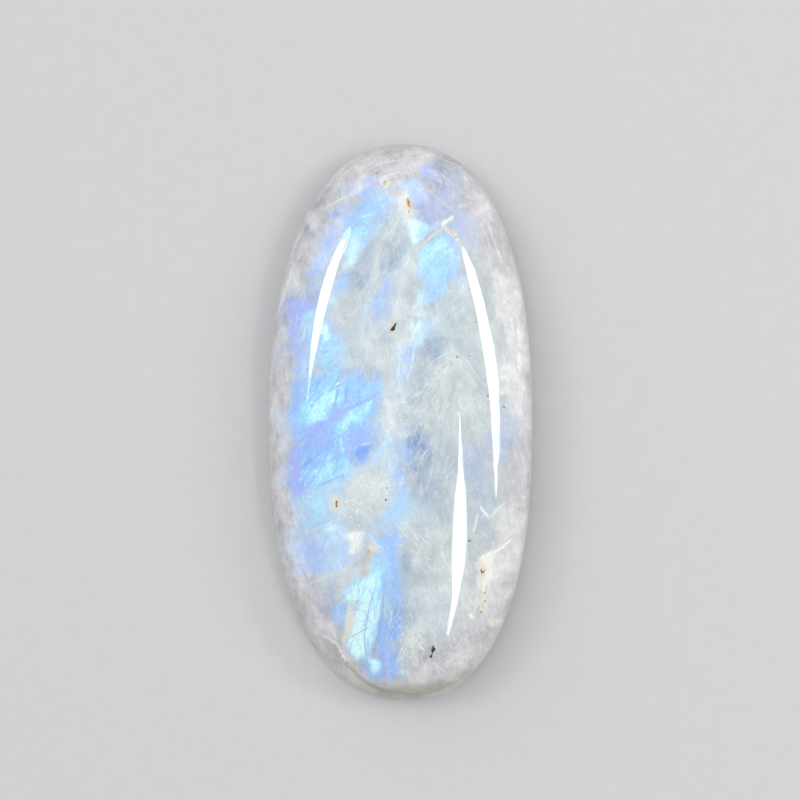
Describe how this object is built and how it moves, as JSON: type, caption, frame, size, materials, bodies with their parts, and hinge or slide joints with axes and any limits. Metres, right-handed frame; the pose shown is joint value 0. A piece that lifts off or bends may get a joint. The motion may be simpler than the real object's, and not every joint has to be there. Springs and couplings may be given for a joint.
{
  "type": "oval moonstone cabochon",
  "caption": "Long oval rainbow moonstone cabochon with a high polished dome, a thin girdle and a flat bevelled back, for resting on a surface or setting in a bezel.",
  "frame": {"origin": "centre of the flat back face, which is the bottom of the stone as it rests", "axes": "+Z up out of the dome, +Y along the long axis towards the end that is up in the picture, +X across the stone to the right of a viewer who looks down on the dome with +Y up"},
  "size_m": [0.019, 0.04, 0.007],
  "materials": {
    "moonstone": "high polish, milky translucent body with a blue to cyan flash and white veils"
  },
  "bodies": {
    "root": {"moonstone": "moonstone"}
  },
  "joints": []
}
